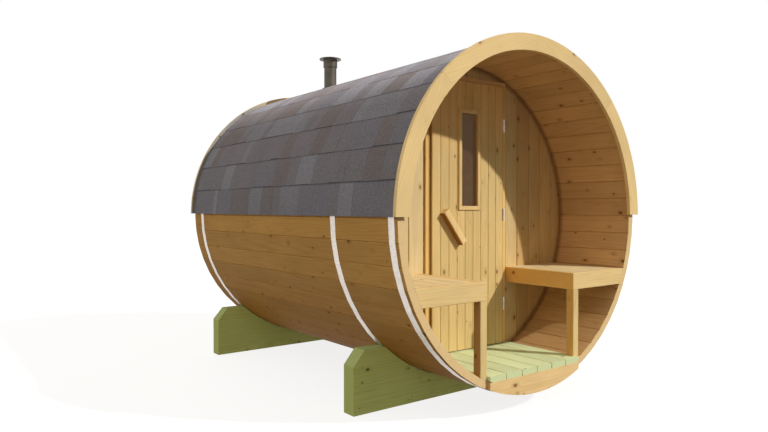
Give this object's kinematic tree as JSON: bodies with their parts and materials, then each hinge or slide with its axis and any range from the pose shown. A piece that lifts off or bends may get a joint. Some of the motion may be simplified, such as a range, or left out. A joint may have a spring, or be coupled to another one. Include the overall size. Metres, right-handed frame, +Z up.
{
  "type": "barrel sauna",
  "caption": "Outdoor sauna built as a wooden barrel on cradles, with a shingled half-round roof, a flue, an open terrace with benches and a hinged plank door with a window.",
  "frame": {"origin": "on the ground, under the middle of the barrel", "axes": "+X right seen from the terrace, +Y from the terrace towards the rear wall along the barrel, +Z up"},
  "size_m": [2, 2.554, 2.3307],
  "materials": {
    "stave_wood": "planed softwood, weathered",
    "pale_wood": "planed softwood, unpainted",
    "treated_wood": "sawn timber, green preservative",
    "deck_wood": "planed boards, pale green preservative",
    "shingle": "mineral granules on bitumen",
    "zinc_steel": "zinc plated",
    "flue_steel": "dark, heat darkened",
    "window_glass": "bronze tinted"
  },
  "bodies": {
    "sauna": {"bench_posts": "pale_wood", "cradle_front": "treated_wood", "cradle_rear": "treated_wood", "deck_boards": "deck_wood", "door_frame_head": "pale_wood", "door_frame_left": "pale_wood", "door_frame_right": "pale_wood", "door_sill": "pale_wood", "floor_boards": "pale_wood", "floor_joists": "pale_wood", "flue_cowl": "flue_steel", "flue_flashing": "flue_steel", "flue_pipe": "flue_steel", "frame_hinges": "zinc_steel", "front_arch_trim": "pale_wood", "front_fascia": "pale_wood", "front_wall_base": "pale_wood", "front_wall_header": "pale_wood", "front_wall_left": "pale_wood", "front_wall_right": "pale_wood", "hoops": "zinc_steel", "left_bench_bearers": "pale_wood", "left_bench_rails": "pale_wood", "left_bench_seat": "pale_wood", "rear_arch_trim": "pale_wood", "rear_wall": "pale_wood", "right_bench_bearers": "pale_wood", "right_bench_rails": "pale_wood", "right_bench_seat": "pale_wood", "roof_courses_left": "shingle", "roof_courses_right": "shingle", "roof_ridge_cap": "shingle", "staves_bottom": "stave_wood", "staves_lower_left": "stave_wood", "staves_lower_right": "stave_wood", "staves_side_left": "stave_wood", "staves_side_right": "stave_wood", "staves_top": "stave_wood", "staves_upper_left": "stave_wood", "staves_upper_right": "stave_wood"},
    "door": {"door_leaf": "pale_wood", "window_frame": "pale_wood", "window_glass": "window_glass", "door_handle": "pale_wood", "door_hinges": "zinc_steel"}
  },
  "joints": [
    {"name": "door_hinge", "type": "hinge", "parent": "sauna", "child": "door", "pos_m": [0.3085, -0.7515, 1.0765], "axis": [0, 0, 1], "range_deg": [0, 90]}
  ]
}
